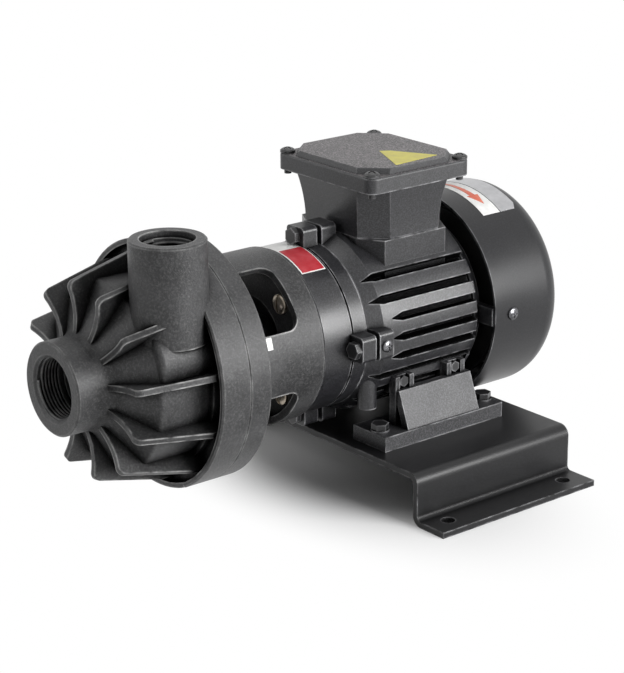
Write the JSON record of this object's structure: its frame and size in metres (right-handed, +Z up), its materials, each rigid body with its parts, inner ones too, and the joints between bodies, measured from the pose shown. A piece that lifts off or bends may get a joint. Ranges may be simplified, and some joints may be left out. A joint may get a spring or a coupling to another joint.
{
  "type": "chemical pump",
  "caption": "Close-coupled plastic chemical pump: ribbed volute casing with threaded ports, windowed lantern with a magnetic coupling, foot mounted fan cooled motor and folded steel base.",
  "frame": {"origin": "centre of the four base holes, at floor level", "axes": "+Z up along the base holes, +Y along the shaft from the inlet to the fan cowl, +X to the side where the outlet stands"},
  "size_m": [0.2694, 0.3589, 0.212],
  "materials": {
    "casing_plastic": "moulded dark grey polypropylene",
    "shell_plastic": "moulded grey polypropylene",
    "seal_rubber": "black rubber",
    "ceramic": "polished ceramic",
    "carbon": "matt carbon",
    "steel": "turned steel",
    "magnet": "nickel plated magnet",
    "lamination": "laminated sheet steel",
    "copper": "enamelled copper wire",
    "black_screw": "black oxide",
    "bright_screw": "plated steel",
    "white_plastic": "white plastic",
    "motor_paint": "satin black textured paint",
    "fan_plastic": "black plastic",
    "cowl_paint": "satin black paint",
    "base_paint": "satin charcoal powder coat",
    "brass": "plain brass"
  },
  "bodies": {
    "housing": {"front_casing": "casing_plastic", "lantern": "casing_plastic", "shaft_support": "casing_plastic", "isolation_shell": "shell_plastic", "casing_seal": "seal_rubber", "box_gasket": "seal_rubber", "pump_shaft": "ceramic", "front_thrust_ring": "ceramic", "rear_thrust_ring": "ceramic", "front_bearing": "steel", "rear_bearing": "steel", "stator_core": "lamination", "stator_windings": "copper", "casing_screws": "black_screw", "tie_bolts": "black_screw", "foot_screws": "black_screw", "foot_bolts": "black_screw", "foot_nuts": "black_screw", "lid_screws": "black_screw", "cowl_screws": "black_screw", "lantern_screws": "bright_screw", "earth_screw": "bright_screw", "white_tab": "white_plastic", "drive_end_shield": "motor_paint", "motor_frame": "motor_paint", "rear_end_shield": "motor_paint", "foot_near": "motor_paint", "foot_far": "motor_paint", "terminal_box": "motor_paint", "terminal_box_lid": "motor_paint", "terminal_block": "fan_plastic", "cable_gland": "fan_plastic", "fan_cowl": "cowl_paint", "base_plate": "base_paint", "terminal_studs": "brass"},
    "rotor": {"motor_shaft": "steel", "motor_key": "steel", "rotor_core": "lamination", "cooling_fan": "fan_plastic", "magnet_hub": "steel", "drive_magnets": "magnet", "hub_grub_screw": "steel"},
    "wet_rotor": {"impeller": "casing_plastic", "driven_magnet": "shell_plastic", "impeller_bush": "carbon"}
  },
  "joints": [
    {"name": "rotor_spin", "type": "hinge", "parent": "housing", "child": "rotor", "pos_m": [0, -0.02, 0.1054], "axis": [0, 1, 0], "continuous": true},
    {"name": "impeller_spin", "type": "hinge", "parent": "housing", "child": "wet_rotor", "pos_m": [0, -0.19, 0.1054], "axis": [0, 1, 0], "continuous": true}
  ],
  "couplings": [
    {"joint": "impeller_spin", "follows": "rotor_spin", "ratio": 1}
  ]
}
